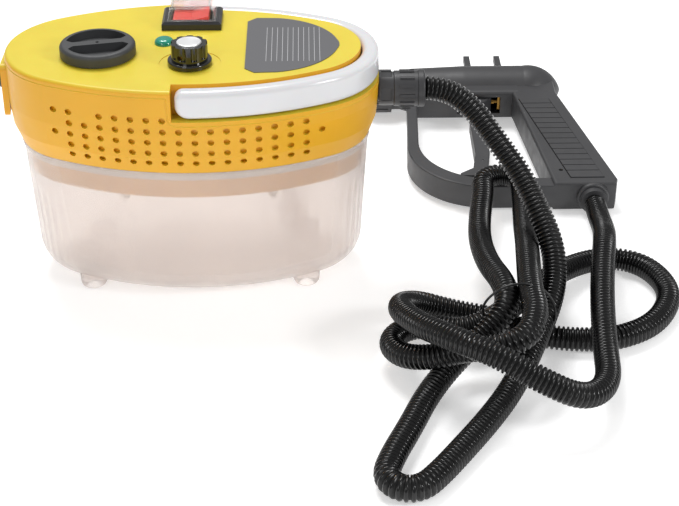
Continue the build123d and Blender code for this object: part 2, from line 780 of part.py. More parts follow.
def hose_tie():
    """Wire loop round the bundle, with a short twisted tail."""
    route = [(184, -110, 32), (184, -109, 48), (200, -108, 58), (224, -106, 54), (238, -103, 38), (236, -102, 22),
             (222, -104, 16.6), (204, -110, 25)]
    loop = tube_along(route + [(186, -110.4, 29)], 0.9, least=2.0, share=0.4)[0]
    tail = tube_along([(184, -110, 32), (178, -116, 34), (176, -122, 31)], 1.3, least=2.0, share=0.4)[0]
    return [loop, tail]


def build_base():
    save("water_tank", water_tank())
    save("tank_seal", tank_seal())
    save("side_housing", side_housing())
    save("top_cover", top_cover())
    save("carry_handle", carry_handle())
    save("handle_pins", *handle_pins())
    save("filler_neck", filler_neck())
    save("filler_cap", filler_cap())
    save("filler_cap_seal", filler_cap_seal())
    save("switch_bezel", switch_bezel())
    save("switch_rocker", switch_rocker())
    save("switch_boot", switch_boot())
    save("switch_terminals", *switch_terminals())
    save("indicator_lens", indicator_lens())
    save("indicator_body", *indicator_body())
    save("control_knob", control_knob())
    save("knob_cap", knob_cap())
    save("knob_set_screw", knob_set_screw())
    save("knob_shaft", knob_shaft())
    save("potentiometer", potentiometer())
    save("potentiometer_nut", potentiometer_nut())
    save("rating_label", rating_label())
    save("hose_socket", hose_socket())
    save("socket_nut", socket_nut())
    save("hose_collar", hose_collar())
    save("hose_ferrule", hose_ferrule())
    save("cord_plate", cord_plate())
    save("cord_gland", cord_gland())


def build_inside():
    save("chassis_plate", chassis_plate())
    save("water_pump", water_pump())
    save("suction_tube", suction_tube())
    save("suction_filter", suction_filter())
    save("heater_block", heater_block())
    save("thermostats", *thermostats())
    save("circuit_board", circuit_board())
    save("pump_pipe", pump_pipe())
    save("steam_pipe", steam_pipe())
    save("housing_screws", *housing_screws())


def build_gun():
    place = gun_place()
    left, right = gun_shells()
    save("gun_left_shell", place * left)
    save("gun_right_shell", place * right)
    save("left_grip_pad", place * grip_pad(1))
    save("right_grip_pad", place * grip_pad(-1))
    save("trigger", place * trigger())
    save("trigger_pin", place * (Pos(*trigger_pivot, 0) * Cylinder(2.0, 24)))
    save("trigger_spring", place * coil(4.0, 0.5, 1.05, 1.8, trigger_pivot, 6.95))
    save("trigger_lock", place * trigger_lock())
    save("lock_pin", place * (Pos(*lock_pivot, 0) * Cylinder(1.0, 11.6)))
    save("steam_valve", place * steam_valve())
    save("valve_plunger", place * valve_plunger())
    save("nozzle_tube", place * nozzle_tube())
    save("nozzle_socket", place * nozzle_socket())
    save("nozzle_ring", place * nozzle_ring())
    save("nozzle_seal", place * nozzle_seal())
    save("accessory_hooks", *[place * post for post in accessory_hooks()])
    save("hose_grommet", place * hose_grommet())
    save("gun_pipe", place * gun_pipe())
    save("gun_screws", *[place * screw for screw in gun_screws()])


def build_hose():
    save("steam_hose", steam_hose())
    save("hose_tie", *hose_tie())


os.makedirs("parts", exist_ok=True)
build_base()
build_inside()
build_gun()
build_hose()
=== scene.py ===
import math

import bpy
import numpy as np
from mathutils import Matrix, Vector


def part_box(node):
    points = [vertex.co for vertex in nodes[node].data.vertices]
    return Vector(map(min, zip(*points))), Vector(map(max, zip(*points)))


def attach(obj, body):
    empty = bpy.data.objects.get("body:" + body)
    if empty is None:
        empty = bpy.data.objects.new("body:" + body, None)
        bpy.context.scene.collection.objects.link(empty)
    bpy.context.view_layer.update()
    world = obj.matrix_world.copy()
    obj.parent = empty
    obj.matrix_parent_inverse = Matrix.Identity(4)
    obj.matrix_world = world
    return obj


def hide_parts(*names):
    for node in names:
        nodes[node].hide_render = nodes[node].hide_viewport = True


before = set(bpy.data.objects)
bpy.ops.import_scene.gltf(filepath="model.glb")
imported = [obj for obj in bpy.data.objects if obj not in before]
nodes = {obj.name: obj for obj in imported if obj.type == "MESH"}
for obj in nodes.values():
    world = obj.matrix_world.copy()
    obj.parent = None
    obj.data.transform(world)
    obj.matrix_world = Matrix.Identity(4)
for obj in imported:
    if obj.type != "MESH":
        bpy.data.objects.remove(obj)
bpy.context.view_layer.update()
mm = 0.001
metre = 1000.0  # in mm
print("frame loaded:", len(nodes), "nodes")

cameraSet = {"place": (0.0745, -0.95225, 0.57215), "tilt": 59.16, "turn": -1.2, "lens": 84.83,
             "sensor": 36.0, "nearest": 0.01}
studio = {"floor": "#F6F6F6", "sky": "#FFFFFF", "skyStrength": 0.42, "floorSize": 8.0, "floorGlow": 0.42}
lamps = [
    # name, place, aim, size, watts
    ("topSoftbox", (-0.15, 0.55, 1.40), (0.05, 0.0, 0.05), 0.62, 14.0),
    ("frontSoftbox", (-0.70, -1.35, 0.95), (0.05, -0.05, 0.05), 0.5, 4.2),
    ("rightStrip", (1.15, -0.75, 0.80), (0.18, 0.0, 0.03), 0.26, 6.0),
]


def linearColour(hexText):
    # sRGB hex to linear: c/12.92 below 0.04045, else ((c + 0.055) / 1.055) to the power 2.4
    parts = [int(hexText[i:i + 2], 16) / 255 for i in (1, 3, 5)]
    return tuple(c / 12.92 if c < 0.04045 else ((c + 0.055) / 1.055) ** 2.4 for c in parts) + (1.0,)


def aimAt(thing, place, target):
    # turns a lamp so that its -Z looks from place to target
    away = [a - b for a, b in zip(place, target)]
    flat = math.hypot(away[0], away[1])
    thing.location = place
    thing.rotation_euler = (math.atan2(flat, away[2]), 0, math.atan2(away[0], -away[1]))


def makeStudio():
    # camera, a large paper floor, an even sky and three square lamps
    scene = bpy.context.scene
    lens = bpy.data.cameras.new("productCamera")
    lens.lens = cameraSet["lens"]
    lens.sensor_width = cameraSet["sensor"]
    lens.clip_start = cameraSet["nearest"]
    camera = bpy.data.objects.new("productCamera", lens)
    scene.collection.objects.link(camera)
    camera.location = cameraSet["place"]
    camera.rotation_euler = (math.radians(cameraSet["tilt"]), 0, math.radians(cameraSet["turn"]))
    scene.camera = camera

    half = studio["floorSize"] / 2
    sheet = bpy.data.meshes.new("studioFloor")
    corners = [(-half, -half, 0), (half, -half, 0), (half, half, 0), (-half, half, 0)]
    sheet.from_pydata(corners, [], [(0, 1, 2, 3)])
    floor = bpy.data.objects.new("studioFloor", sheet)
    scene.collection.objects.link(floor)
    floor.data.materials.append(matPaper())

    world = bpy.data.worlds.new("softSky")
    world.use_nodes = True
    sky = world.node_tree.nodes["Background"]
    sky.inputs["Color"].default_value = linearColour(studio["sky"])
    sky.inputs["Strength"].default_value = studio["skyStrength"]
    scene.world = world
    for name, place, aim, size, watts in lamps:
        light = bpy.data.lights.new(name, "AREA")
        light.shape = "SQUARE"
        light.size = size
        light.energy = watts
        lamp = bpy.data.objects.new(name, light)
        scene.collection.objects.link(lamp)
        aimAt(lamp, place, aim)
    scene.view_settings.view_transform = "Standard"


def addNode(tree, kind, settings=None, links=None):
    # one node, with its values and its incoming links; a link is input name -> (node, output name)
    node = tree.nodes.new(kind)
    for key, value in (settings or {}).items():
        if isinstance(key, int) or key in node.inputs:
            node.inputs[key].default_value = value
        else:
            setattr(node, key, value)
    for key, (source, output) in (links or {}).items():
        tree.links.new(source.outputs[output], node.inputs[key])
    return node


def mathNode(tree, operation, first, second=0.0):
    # one sum; each of the two is a number or a (node, output name)
    node = addNode(tree, "ShaderNodeMath", {"operation": operation})
    for slot, item in enumerate((first, second)):
        if isinstance(item, tuple):
            tree.links.new(item[0].outputs[item[1]], node.inputs[slot])
        else:
            node.inputs[slot].default_value = item
    return node


noiseDetail = {"soft": 2.0, "cloudy": 3.0, "fine": 4.0}


def noiseNode(tree, source, scale, kind="soft", output="Object"):
    # noise with a scale in cells per metre
    settings = {"Scale": scale, "Detail": noiseDetail[kind]}
    return addNode(tree, "ShaderNodeTexNoise", settings, {"Vector": (source, output)})


def freshMaterial(name):
    # a new material, its node tree, its shader and the node that gives places on the object in metres
    material = bpy.data.materials.new(name)
    material.use_nodes = True
    tree = material.node_tree
    shader = tree.nodes["Principled BSDF"]
    place = addNode(tree, "ShaderNodeTexCoord")
    return material, tree, shader, place


def setInputs(shader, values):
    # input name -> value, for inputs that nothing is linked to
    for name, value in values.items():
        shader.inputs[name].default_value = value


def shaded(colour, share):
    # a colour times a share, no brighter than 1
    return tuple(min(1.0, c * share) for c in colour[:3]) + (1.0,)


def rampBetween(tree, source, output, low, high, positions=(0.35, 0.65)):
    # a colour that goes from low to high while the source goes between the two positions
    ramp = addNode(tree, "ShaderNodeValToRGB", links={"Fac": (source, output)})
    for element, position, colour in zip(ramp.color_ramp.elements, positions, (low, high)):
        element.position = position
        element.color = colour
    return ramp


def spreadBetween(tree, source, output, ends, low, high):
    # a value that goes in a straight line from low to high while the source goes between the two ends
    settings = {"From Min": ends[0], "From Max": ends[1], "To Min": low, "To Max": high}
    return addNode(tree, "ShaderNodeMapRange", settings, {"Value": (source, output)})


skin = {"detail": 3.0, "rough": 0.6, "strength": 1.0}
noiseEnds = (0.3, 0.7)


def grainBump(tree, shader, place, look):
    # moulded skin: cellular grain of a real size in mm, with a height in mm
    settings = {"Scale": metre / look["grain"], "Detail": skin["detail"], "Roughness": skin["rough"]}
    noise = addNode(tree, "ShaderNodeTexNoise", settings, {"Vector": (place, "Object")})
    settings = {"Strength": skin["strength"], "Distance": look["grainHeight"] * mm}
    bump = addNode(tree, "ShaderNodeBump", settings, {"Height": (noise, "Fac")})
    tree.links.new(bump.outputs["Normal"], shader.inputs["Normal"])


plasticBase = {"cloud": 45, "scuff": 9, "ior": 1.53, "coat": 0.0, "coatRough": 0.1, "depth": 0.0,
               "depthMm": 2.0, "smoothest": 0.85, "roughest": 1.2}


def mouldedPlastic(name, changes):
    # Thermoplastic from a polished or spark-eroded mould: even colour with faint flow clouding,
    # a soft highlight, and a skin grain that breaks it up.
    look = {**plasticBase, **changes}
    material, tree, shader, place = freshMaterial(name)
    base = linearColour(look["colour"])
    cloud = noiseNode(tree, place, metre / look["cloud"])
    dark, light = shaded(base, 1 - look["shade"]), shaded(base, 1 + look["shade"])
    colour = rampBetween(tree, cloud, "Fac", dark, light)
    tree.links.new(colour.outputs["Color"], shader.inputs["Base Color"])
    scuff = noiseNode(tree, place, metre / look["scuff"], "fine")
    spread = spreadBetween(tree, scuff, "Fac", noiseEnds, look["rough"] * look["smoothest"],
                           min(1.0, look["rough"] * look["roughest"]))
    tree.links.new(spread.outputs["Result"], shader.inputs["Roughness"])
    setInputs(shader, {"IOR": look["ior"], "Coat Weight": look["coat"], "Coat Roughness": look["coatRough"],
                       "Subsurface Weight": look["depth"], "Subsurface Scale": look["depthMm"] * mm})
    grainBump(tree, shader, place, look)
    return material


paperLook = {"fibre": 900.0, "fibreShade": 0.985, "rough": 0.9, "gloss": 0.1, "glow": "#FFFFFF"}


def matPaper():
    # Matt studio paper: bright, no gloss, with a hint of fibre
    material, tree, shader, place = freshMaterial("studioPaper")
    fibre = noiseNode(tree, place, paperLook["fibre"])
    tone = linearColour(studio["floor"])
    colour = rampBetween(tree, fibre, "Fac", shaded(tone, paperLook["fibreShade"]), tone)
    tree.links.new(colour.outputs["Color"], shader.inputs["Base Color"])
    setInputs(shader, {"Roughness": paperLook["rough"], "Specular IOR Level": paperLook["gloss"],
                       "Emission Color": linearColour(paperLook["glow"]),
                       "Emission Strength": studio["floorGlow"]})
    return material


# side: the walls' orange-yellow with painted shade; top: the paler lemon with painted light on up-facing
# faces; turn: where that blend runs
yellowLook = {"side": "#E6AA12", "top": "#E2CC38", "turn": (0.25, 0.95), "cloud": 22.0,
              "veil": (0.96, 1.03), "scuff": 120.0, "rough": 0.42, "smoothest": 0.85, "roughest": 1.15,
              "ior": 1.53, "depth": 0.12, "depthMm": 2.5, "grain": 0.7, "grainHeight": 0.014}


def yellowAbs():
    # ABS, injection moulded, satin. Painted light and shade: faces that look up get a paler lemon, painted
    # as lit tops, and walls a deeper orange-yellow, painted as shaded sides, chosen by the direction each
    # face looks.
    material, tree, shader, place = freshMaterial("yellowAbs")
    # painted light and shade: the colour runs from the shaded wall yellow to the lit top yellow as each face
    # looks further up
    facing = addNode(tree, "ShaderNodeNewGeometry")
    split = addNode(tree, "ShaderNodeSeparateXYZ", links={"Vector": (facing, "Normal")})
    side, top = linearColour(yellowLook["side"]), linearColour(yellowLook["top"])
    paintedLightByFacing = rampBetween(tree, split, "Z", side, top, yellowLook["turn"])
    cloud = noiseNode(tree, place, yellowLook["cloud"])
    veil = spreadBetween(tree, cloud, "Fac", noiseEnds, *yellowLook["veil"])
    tint = addNode(tree, "ShaderNodeVectorMath", {"operation": "SCALE"},
                   {0: (paintedLightByFacing, "Color"), "Scale": (veil, "Result")})
    tree.links.new(tint.outputs["Vector"], shader.inputs["Base Color"])
    scuff = noiseNode(tree, place, yellowLook["scuff"], "fine")
    spread = spreadBetween(tree, scuff, "Fac", noiseEnds, yellowLook["rough"] * yellowLook["smoothest"],
                           yellowLook["rough"] * yellowLook["roughest"])
    tree.links.new(spread.outputs["Result"], shader.inputs["Roughness"])
    setInputs(shader, {"IOR": yellowLook["ior"], "Subsurface Weight": yellowLook["depth"],
                       "Subsurface Scale": yellowLook["depthMm"] * mm})
    grainBump(tree, shader, place, yellowLook)
    return material


tankLook = {"colour": "#F9F0EB", "cloud": 18.0, "cloudShade": 0.95, "rough": 0.26, "through": 0.66,
            "ior": 1.30, "solid": 0.74, "glow": 0.02, "grain": 1.6, "grainHeight": 0.02}


def milkyPolypropylene():
    # Natural polypropylene, injection moulded: cloudy and translucent, shapes behind it show as soft
    # shadows; a faint painted glow of its own colour brightens it, though it is no lamp
    material, tree, shader, place = freshMaterial("milkyPolypropylene")
    cloud = noiseNode(tree, place, tankLook["cloud"], "cloudy")
    base = linearColour(tankLook["colour"])
    colour = rampBetween(tree, cloud, "Fac", shaded(base, tankLook["cloudShade"]), base)
    tree.links.new(colour.outputs["Color"], shader.inputs["Base Color"])
    # the emission here is a painted glow: the tank gives off faint light of its own colour though it is no
    # lamp
    setInputs(shader, {"Roughness": tankLook["rough"], "Transmission Weight": tankLook["through"],
                       "Alpha": tankLook["solid"], "IOR": tankLook["ior"], "Emission Color": base,
                       "Emission Strength": tankLook["glow"]})
    grainBump(tree, shader, place, tankLook)
    return material


siliconeLook = {"colour": "#EFECEB", "rough": 0.12, "through": 0.9, "solid": 0.42, "ior": 1.41,
                "grain": 2.5, "grainHeight": 0.03}


def clearSilicone():
    # Thin clear silicone: nearly invisible, with a soft greyish sheen where it bends
    material, tree, shader, place = freshMaterial("clearSilicone")
    setInputs(shader, {"Base Color": linearColour(siliconeLook["colour"]), "IOR": siliconeLook["ior"],
                       "Roughness": siliconeLook["rough"], "Alpha": siliconeLook["solid"],
                       "Transmission Weight": siliconeLook["through"]})
    grainBump(tree, shader, place, siliconeLook)
    return material


# paintedGlow: strength of a painted glow in the lens's own colour, a part that glows though it is no lamp
lenses = {
    "tealLens": {"name": "tealPolycarbonate", "colour": "#12967F", "depth": 0.25, "rough": 0.12, "paintedGlow": 0.0},
    "redRocker": {"name": "redPolycarbonate", "colour": "#E0342C", "depth": 0.3, "rough": 0.18, "paintedGlow": 0.45},
}
lensLook = {"cloud": 260.0, "cloudShade": 0.82, "ior": 1.58, "coat": 0.6, "coatRough": 0.04, "depthMm": 3.0,
            "grain": 4.0, "grainHeight": 0.02}


def tintedLens(lens):
    # Transparent coloured polycarbonate: deep colour, sharp highlight, and a painted glow of the lens's own
    # colour where one is given; the red rocker is painted glowing
    material, tree, shader, place = freshMaterial(lens["name"])
    cloud = noiseNode(tree, place, lensLook["cloud"])
    base = linearColour(lens["colour"])
    tone = rampBetween(tree, cloud, "Fac", shaded(base, lensLook["cloudShade"]), base)
    tree.links.new(tone.outputs["Color"], shader.inputs["Base Color"])
    setInputs(shader, {"Roughness": lens["rough"], "IOR": lensLook["ior"], "Coat Weight": lensLook["coat"],
                       "Coat Roughness": lensLook["coatRough"], "Subsurface Weight": lens["depth"],
                       "Emission Color": base, "Emission Strength": lens["paintedGlow"],
                       "Subsurface Scale": lensLook["depthMm"] * mm})
    grainBump(tree, shader, place, lensLook)
    return material


metals = {
    "spunAluminium": {"colour": "#F6F6F7", "rough": 0.42, "axis": "Z", "pitch": 0.4},
    "castAluminium": {"colour": "#B4B4B6", "rough": 0.45, "axis": "X", "pitch": 1.5},
    "zincSteel": {"colour": "#A9A9AB", "rough": 0.32, "axis": "Z", "pitch": 0.3},
    "turnedBrass": {"colour": "#8A6A35", "rough": 0.26, "axis": "X", "pitch": 0.3},
    "drawnCopper": {"colour": "#B87B55", "rough": 0.3, "axis": "X", "pitch": 0.5},
}
metalLook = {"across": 0.02, "lineShade": 0.86, "smoothest": 0.8, "roughest": 1.25, "strength": 0.6,
             "height": 0.01}


def turnedMetal(name, metal):
    # Lathe-turned or drawn metal: bright, with fine tool lines that follow each other along one axis,
    # a real pitch in mm apart
    material, tree, shader, place = freshMaterial(name)
    stretch = tuple(1 if letter == metal["axis"] else metalLook["across"] for letter in "XYZ")
    lines = addNode(tree, "ShaderNodeMapping", {"Scale": stretch}, {"Vector": (place, "Object")})
    tool = noiseNode(tree, lines, metre / metal["pitch"], output="Vector")
    base = linearColour(metal["colour"])
    tone = rampBetween(tree, tool, "Fac", shaded(base, metalLook["lineShade"]), base)
    tree.links.new(tone.outputs["Color"], shader.inputs["Base Color"])
    shader.inputs["Metallic"].default_value = 1.0
    spread = spreadBetween(tree, tool, "Fac", (0.0, 1.0), metal["rough"] * metalLook["smoothest"],
                           metal["rough"] * metalLook["roughest"])
    tree.links.new(spread.outputs["Result"], shader.inputs["Roughness"])
    settings = {"Strength": metalLook["strength"], "Distance": metalLook["height"] * mm}
    bump = addNode(tree, "ShaderNodeBump", settings, {"Height": (tool, "Fac")})
    tree.links.new(bump.outputs["Normal"], shader.inputs["Normal"])
    return material


labelLook = {"film": "#5E5E61", "ink": "#C9C9CB", "rule": 3.4, "weight": 0.13, "margin": 12.0,
             "halfBand": 27.0, "rough": 0.38, "ior": 1.6, "grain": 1.1, "grainHeight": 0.01}


def printedFilm():
    # Polyester label film with a satin lacquer: flat grey print with a few thin pale rules and a margin
    material, tree, shader, place = freshMaterial("printedFilm")
    low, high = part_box("rating_label")
    split = addNode(tree, "ShaderNodeSeparateXYZ", links={"Vector": (place, "Object")})
    wave = mathNode(tree, "PINGPONG", (split, "X"), labelLook["rule"] / 2 * mm)
    thin = mathNode(tree, "LESS_THAN", (wave, "Value"), labelLook["weight"] * mm)
    left = mathNode(tree, "GREATER_THAN", (split, "X"), low.x + labelLook["margin"] * mm)
    right = mathNode(tree, "LESS_THAN", (split, "X"), high.x - labelLook["margin"] * mm)
    middle = mathNode(tree, "ABSOLUTE", (split, "Y"))
    ink = mathNode(tree, "LESS_THAN", (middle, "Value"), labelLook["halfBand"] * mm)
    for part in (thin, left, right):
        ink = mathNode(tree, "MULTIPLY", (ink, "Value"), (part, "Value"))
    # a colour mix has its two colours at inputs 6 and 7 and its result at output 2
    film = addNode(tree, "ShaderNodeMix", {"data_type": "RGBA", 6: linearColour(labelLook["film"]),
                                           7: linearColour(labelLook["ink"])}, {"Factor": (ink, "Value")})
    tree.links.new(film.outputs[2], shader.inputs["Base Color"])
    setInputs(shader, {"Roughness": labelLook["rough"], "IOR": labelLook["ior"]})
    grainBump(tree, shader, place, labelLook)
    return material


boardLook = {"cell": "#0C4A26", "track": "#1B6B3A", "scale": 260.0, "edges": (0.2, 0.5), "rough": 0.3}


def solderMask():
    # Green solder mask over copper tracks: a glossy lacquer, paler where a track runs under it
    material, tree, shader, place = freshMaterial("solderMask")
    tracks = addNode(tree, "ShaderNodeTexVoronoi", {"Scale": boardLook["scale"], "distance": "MANHATTAN"},
                     {"Vector": (place, "Object")})
    cell, track = linearColour(boardLook["cell"]), linearColour(boardLook["track"])
    colour = rampBetween(tree, tracks, "Distance", cell, track, boardLook["edges"])
    tree.links.new(colour.outputs["Color"], shader.inputs["Base Color"])
    shader.inputs["Roughness"].default_value = boardLook["rough"]
    return material


plastics = {
    "whiteAbs": {"colour": "#DDDDDF", "rough": 0.22, "shade": 0.015, "grain": 1.6, "grainHeight": 0.01,
                 "coat": 0.35, "coatRough": 0.08, "depth": 0.1},
    "blackNylon": {"colour": "#262629", "rough": 0.36, "shade": 0.12, "grain": 0.6, "grainHeight": 0.02},
    "blackPhenolic": {"colour": "#0F0F10", "rough": 0.13, "shade": 0.1, "grain": 2.2, "grainHeight": 0.01,
                      "coat": 0.5, "coatRough": 0.05},
    "greyPolypropylene": {"colour": "#38393B", "rough": 0.5, "shade": 0.07, "grain": 0.6,
                          "grainHeight": 0.03},
    "couplingNylon": {"colour": "#353537", "rough": 0.42, "shade": 0.1, "grain": 0.6, "grainHeight": 0.025},
    "gunNylon": {"colour": "#3C3C3E", "rough": 0.47, "shade": 0.08, "grain": 0.55, "grainHeight": 0.03},
    "gripElastomer": {"colour": "#3B3B3D", "rough": 0.6, "shade": 0.08, "grain": 0.5, "grainHeight": 0.03},
    "beigePolypropylene": {"colour": "#F1E9DC", "rough": 0.5, "shade": 0.04, "grain": 1.0,
                           "grainHeight": 0.02},
    "paleSilicone": {"colour": "#D8D3C8", "rough": 0.55, "shade": 0.05, "grain": 1.2, "grainHeight": 0.02},
    "wireCoating": {"colour": "#0B0B0C", "rough": 0.3, "shade": 0.1, "grain": 0.9, "grainHeight": 0.02},
}


# valley: near black, painted as shade down in the grooves; crest: the ridge tops' own black, paler where
# dusty
hoseLook = {"valley": "#010101", "crest": "#0B0B0C", "turn": (0.1, 0.6), "dust": 60.0, "ends": (0.0, 0.5),
            "valleyRough": 0.55, "crestRough": 0.13, "ior": 1.52, "gloss": 0.42, "grain": 1.4,
            "grainHeight": 0.008}


def hosePolyethylene():
    # Corrugated black polyethylene: wet-looking crests, a little paler where dust lies on them, over matt
    # valleys painted deep black as the shade down in the grooves
    material, tree, shader, place = freshMaterial("hosePolyethylene")
    dust = noiseNode(tree, place, hoseLook["dust"], "fine")
    crest = addNode(tree, "ShaderNodeAttribute", {"attribute_name": "crest"})
    # dust times the crest mark: dust on the ridge tops, and low down in the valleys, where the colour is
    # painted shade
    dustAndGrooveShade = mathNode(tree, "MULTIPLY", (dust, "Fac"), (crest, "Fac"))
    black, pale = linearColour(hoseLook["valley"]), linearColour(hoseLook["crest"])
    colour = rampBetween(tree, dustAndGrooveShade, "Value", black, pale, hoseLook["turn"])
    tree.links.new(colour.outputs["Color"], shader.inputs["Base Color"])
    spread = spreadBetween(tree, dustAndGrooveShade, "Value", hoseLook["ends"], hoseLook["valleyRough"],
                           hoseLook["crestRough"])
    tree.links.new(spread.outputs["Result"], shader.inputs["Roughness"])
    setInputs(shader, {"IOR": hoseLook["ior"], "Specular IOR Level": hoseLook["gloss"]})
    grainBump(tree, shader, place, hoseLook)
    return material


def makeMaterials():
    # finish name -> material; the single ones are named after the function that makes them
    made = {name: mouldedPlastic(name, look) for name, look in plastics.items()}
    made.update({name: tintedLens(lens) for name, lens in lenses.items()})
    made.update({name: turnedMetal(name, metal) for name, metal in metals.items()})
    for build in (yellowAbs, milkyPolypropylene, clearSilicone, printedFilm, solderMask, hosePolyethylene):
        made[build.__name__] = build()
    return made


finishOf = {
    "yellowAbs": ["side_housing", "top_cover", "cord_plate"],
    "whiteAbs": ["carry_handle"],
    "greyPolypropylene": ["filler_cap"],
    "blackNylon": ["filler_neck", "switch_bezel", "cord_gland", "indicator_body", "socket_nut",
                   "potentiometer", "water_pump"],
    "blackPhenolic": ["control_knob"],
    "couplingNylon": ["hose_socket", "hose_collar", "hose_ferrule"],
    "gunNylon": ["gun_left_shell", "gun_right_shell", "nozzle_ring", "trigger", "trigger_lock",
                 "accessory_hooks", "hose_grommet"],
    "gripElastomer": ["left_grip_pad", "right_grip_pad"],
    "beigePolypropylene": ["chassis_plate"],
    "paleSilicone": ["tank_seal", "filler_cap_seal", "nozzle_seal"],
    "redRocker": ["switch_rocker"],
    "clearSilicone": ["switch_boot"],
    "tealLens": ["indicator_lens"],
    "printedFilm": ["rating_label"],
    "solderMask": ["circuit_board"],
    "spunAluminium": ["knob_cap"],
    "castAluminium": ["heater_block"],
    "zincSteel": ["handle_pins", "switch_terminals", "knob_shaft", "housing_screws", "trigger_pin",
                  "trigger_spring", "lock_pin", "nozzle_tube", "gun_screws", "thermostats",
                  "potentiometer_nut"],
    "turnedBrass": ["knob_set_screw", "steam_valve", "nozzle_socket", "valve_plunger"],
    "drawnCopper": ["pump_pipe", "steam_pipe", "gun_pipe"],
    "milkyPolypropylene": ["water_tank", "suction_tube", "suction_filter"],
    "hosePolyethylene": ["steam_hose"],
    "wireCoating": ["hose_tie"],
}


def fullTurn(count):
    # even directions once round
    return np.linspace(0, 2 * math.pi, count + 1)[:-1]


def gridMesh(name, points, capped=True):
    # points[v, u] is a grid of places: neighbours in v and u make quads and u wraps round; with capped,
    # triangles close each end row onto the mean of its places
    rows, columns = points.shape[:2]
    place = points.reshape(-1, 3)
    v, u = np.meshgrid(np.arange(rows - 1), np.arange(columns), indexing="ij")
    beside = (u + 1) % columns
    below, above = v * columns, (v + 1) * columns
    quads = np.stack([below + u, below + beside, above + beside, above + u], axis=-1)
    faces = quads.reshape(-1, 4).tolist()
    if capped:
        ring = np.arange(columns)
        after = (ring + 1) % columns
        last = (rows - 1) * columns
        tips = np.full((2, columns), [[len(place)], [len(place) + 1]])
        faces += np.stack([after, ring, tips[0]], axis=-1).tolist()
        faces += np.stack([last + ring, last + after, tips[1]], axis=-1).tolist()
        place = np.vstack([place, points[0].mean(axis=0), points[-1].mean(axis=0)])
    mesh = bpy.data.meshes.new(name)
    mesh.from_pydata(place.tolist(), [], faces)
    mesh.polygons.foreach_set("use_smooth", np.full(len(mesh.polygons), True))
    mesh.update()
    return mesh


def newPiece(name, mesh, body, material):
    # a piece that rides on a body and fills a slot
    piece = bpy.data.objects.new(name, mesh)
    bpy.context.scene.collection.objects.link(piece)
    mesh.materials.append(material)
    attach(piece, body)
    return piece


def ringPoints(line, side, over, radii, angles):
    # place + radius x (cos angle x side + sin angle x over), for every place of the line and every angle
    ring = np.cos(angles)[None, :, None] * side[:, None] + np.sin(angles)[None, :, None] * over[:, None]
    return line[:, None] + radii[..., None] * ring


def tubePoints(line, radii, angles):
    # rings in the plane across the line: side = ahead x up, over = side x ahead, both of length 1
    ahead = np.gradient(line, axis=0)
    ahead /= np.linalg.norm(ahead, axis=1)[:, None]
    side = np.cross(ahead, (0, 0, 1.0))
    side /= np.linalg.norm(side, axis=1)[:, None]
    return ringPoints(line, side, np.cross(side, ahead), radii, angles)


hose = {"diameter": 15.8, "pitch": 3.0, "valley": 1.6, "shoulder": 0.24, "around": 17, "slitAt": 4.4,
        "slitHalf": 0.05, "slitShare": 0.9, "plainEnd": 1.0, "pathPlaces": 700,
        "stations": [0.04, 0.11, 0.36, 0.61, 0.68, 0.97]}

# the route's points in mm, from the coupling to the gun
hoseRoute = [
    (150, 0, 128.5), (164, 0, 128.5), (182, -8, 117), (198, -21, 98), (213, -32, 80), (222, -45, 64),
    (230.2, -60, 49), (232, -78, 35), (226.4, -102, 28), (215.8, -128, 22.5), (204.6, -153, 16),
    (193, -176, 11), (178, -201, 9), (158.6, -230, 8.4), (147, -247, 8.2), (135, -262, 8.2),
    (122.5, -262.4, 8.2), (114, -251.5, 8.2), (120.5, -231, 8.2), (131, -207, 8.3), (144, -174, 9),
    (162, -151, 17), (180, -142, 29), (195, -131, 40.5), (196, -106, 42.5), (189, -70, 36), (188, -27, 28),
    (191.5, 8, 26), (197, 40, 28), (197.5, 56, 30), (211, 64, 30.5), (224.5, 56, 30.5), (224.5, 40, 29.5),
    (222, 8, 28), (219.5, -18, 31), (217, -45, 38), (213.5, -78, 44), (209.5, -121, 48), (210, -148, 49),
    (202.5, -171, 47), (184, -176, 42), (166, -166, 35), (146, -163, 27), (129, -151, 20), (122, -132, 17),
    (131.5, -115, 16), (150, -113, 17), (170, -124, 19.5), (195, -113, 26), (220, -76, 22), (249, -34, 12),
    (279, -17, 8.4), (303, -29, 8.2), (313, -64, 8.2), (297, -99, 8.2), (269, -117, 8.2), (241, -118, 8.2),
    (216, -112, 8.2), (191, -92, 8.4), (165, -87, 11), (141, -89, 20), (127, -114, 33), (137, -148, 42),
    (157, -178, 51), (181, -194, 50), (207, -204, 38), (232, -207, 27), (250.5, -184, 21), (254, -146, 21),
    (257.5, -110, 26.5), (264, -69, 29), (272, -29, 30), (278, 6, 17), (279.5, 33.7, 10.85),
    (279.5, 53.5, 11.76),
]

curveSet = {"order": 3, "fineness": 24, "apart": 1e-7}


